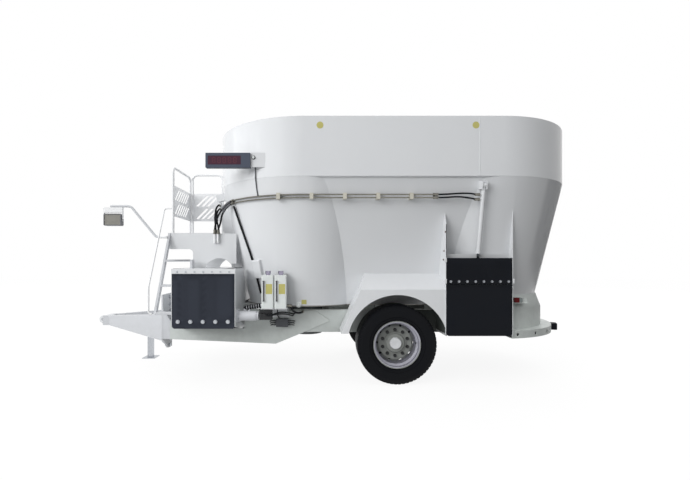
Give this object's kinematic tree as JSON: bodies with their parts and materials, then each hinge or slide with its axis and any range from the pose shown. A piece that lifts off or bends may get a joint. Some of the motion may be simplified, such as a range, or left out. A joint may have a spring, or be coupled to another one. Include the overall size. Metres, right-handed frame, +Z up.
{
  "type": "feed mixer wagon",
  "caption": "Trailed vertical feed mixer wagon: white twin-cone tub with augers, cross conveyor, side outlet door, ladder and platform, scale display, drawbar and single axle.",
  "frame": {"origin": "on the ground at the middle of the overall length and width", "axes": "+X towards the rear, -Y towards the left side with the ladder and the outlets, +Z up"},
  "size_m": [6.8335, 2.5682, 3.314],
  "materials": {
    "white_paint": "gloss white enamel",
    "zinc_steel": "zinc plated",
    "worn_steel": "bare, polished by feed",
    "cast_housing": "painted cast iron",
    "silver_rim": "silver paint",
    "tyre_rubber": "black tyre rubber",
    "black_rubber": "matt black rubber sheet",
    "tank_plastic": "white moulded plastic",
    "silver_fittings": "bright",
    "grey_plastic": "moulded",
    "display_plastic": "dark blue powder coat",
    "display_pane": "smoked red pane",
    "lamp_glass": "ribbed lens",
    "red_lens": "red lens"
  },
  "bodies": {
    "wagon": {"chassis_rails": "white_paint", "chassis_crossmembers": "white_paint", "rear_skirt": "white_paint", "rear_buffers": "black_rubber", "drawbar": "white_paint", "bolts": "zinc_steel", "axle_beam": "white_paint", "load_cells": "zinc_steel", "tub_floor": "white_paint", "tub_front_shell": "white_paint", "tub_rear_shell": "white_paint", "tub_side_panels": "white_paint", "tub_belt": "white_paint", "gearboxes": "cast_housing", "fenders": "white_paint", "door_rails": "white_paint", "outlet_plates": "white_paint", "outlet_seal": "black_rubber", "cylinder_barrels": "white_paint", "brackets": "white_paint", "side_pipes": "white_paint", "pipe_clips": "zinc_steel", "hoses": "black_rubber", "oil_tanks": "tank_plastic", "tank_fittings": "silver_fittings", "control_boxes": "grey_plastic", "display_case": "display_plastic", "display_window": "display_pane", "platform": "white_paint", "railing": "white_paint", "railing_panels": "white_paint", "ladder": "white_paint", "conveyor_plates": "white_paint", "conveyor_bed": "white_paint", "conveyor_belt": "black_rubber", "conveyor_motor": "cast_housing", "rear_lamps": "red_lens", "stand_tube": "white_paint"},
    "wheel_left": {"tyre_left": "tyre_rubber", "rim_left": "silver_rim", "hub_left": "cast_housing"},
    "wheel_right": {"tyre_right": "tyre_rubber", "rim_right": "silver_rim", "hub_right": "cast_housing"},
    "front_auger": {"auger_front": "worn_steel", "knives_front": "worn_steel"},
    "rear_auger": {"auger_rear": "worn_steel", "knives_rear": "worn_steel"},
    "drive_shaft": {"driveline": "worn_steel"},
    "side_slide": {"side_door": "white_paint"},
    "front_slide": {"front_door": "white_paint"},
    "belt_drive_roller": {"drive_roller": "zinc_steel"},
    "belt_idler_roller": {"idler_roller": "zinc_steel"},
    "discharge_flap": {"conveyor_flap": "black_rubber", "flap_weight": "zinc_steel"},
    "side_curtain": {"outlet_curtain": "black_rubber"},
    "work_lamp": {"lamp_head": "grey_plastic", "lamp_glass": "lamp_glass"},
    "parking_stand": {"stand_leg": "zinc_steel"},
    "drawbar_eye": {"hitch_eye": "cast_housing"}
  },
  "joints": [
    {"name": "wheel_left_roll", "type": "hinge", "parent": "wagon", "child": "wheel_left", "pos_m": [0.903, -0.9245, 0.5], "axis": [0, 1, 0], "continuous": true},
    {"name": "wheel_right_roll", "type": "hinge", "parent": "wagon", "child": "wheel_right", "pos_m": [0.903, 0.9245, 0.5], "axis": [0, 1, 0], "continuous": true},
    {"name": "front_auger_turn", "type": "hinge", "parent": "wagon", "child": "front_auger", "pos_m": [-0.261, 0, 0.97], "axis": [0, 0, 1], "continuous": true},
    {"name": "rear_auger_turn", "type": "hinge", "parent": "wagon", "child": "rear_auger", "pos_m": [2.166, 0, 0.97], "axis": [0, 0, 1], "continuous": true},
    {"name": "drive_shaft_turn", "type": "hinge", "parent": "wagon", "child": "drive_shaft", "pos_m": [-2.2, 0, 0.6], "axis": [1, 0, 0], "continuous": true},
    {"name": "side_slide_lift", "type": "slide", "parent": "wagon", "child": "side_slide", "axis": [0, -0.2201, 0.9755], "range_m": [0, 0.48]},
    {"name": "front_slide_lift", "type": "slide", "parent": "wagon", "child": "front_slide", "axis": [-0.2201, 0, 0.9755], "range_m": [0, 0.48]},
    {"name": "belt_drive_turn", "type": "hinge", "parent": "wagon", "child": "belt_drive_roller", "pos_m": [-1.515, -1.01, 0.857], "axis": [1, 0, 0], "continuous": true},
    {"name": "belt_idler_turn", "type": "hinge", "parent": "wagon", "child": "belt_idler_roller", "pos_m": [-1.515, 1.01, 0.857], "axis": [1, 0, 0], "continuous": true},
    {"name": "discharge_flap_swing", "type": "hinge", "parent": "wagon", "child": "discharge_flap", "pos_m": [-1.515, -1.12, 1.3817], "axis": [1, 0, 0], "range_deg": [-70, 0]},
    {"name": "side_curtain_swing", "type": "hinge", "parent": "wagon", "child": "side_curtain", "pos_m": [1.9135, -1.135, 1.251], "axis": [1, 0, 0], "range_deg": [-60, 0]},
    {"name": "work_lamp_tilt", "type": "hinge", "parent": "wagon", "child": "work_lamp", "pos_m": [-2.88, -0.64, 2.115], "axis": [1, 0, 0], "range_deg": [-30, 30]},
    {"name": "parking_stand_lift", "type": "slide", "parent": "wagon", "child": "parking_stand", "axis": [0, 0, 1], "range_m": [0, 0.33]},
    {"name": "drawbar_eye_turn", "type": "hinge", "parent": "wagon", "child": "drawbar_eye", "pos_m": [-3.359, 0, 0.671], "axis": [1, 0, 0], "continuous": true}
  ],
  "couplings": [
    {"joint": "rear_auger_turn", "follows": "front_auger_turn", "ratio": 1},
    {"joint": "drive_shaft_turn", "follows": "front_auger_turn", "ratio": 18},
    {"joint": "belt_idler_turn", "follows": "belt_drive_turn", "ratio": 1}
  ]
}
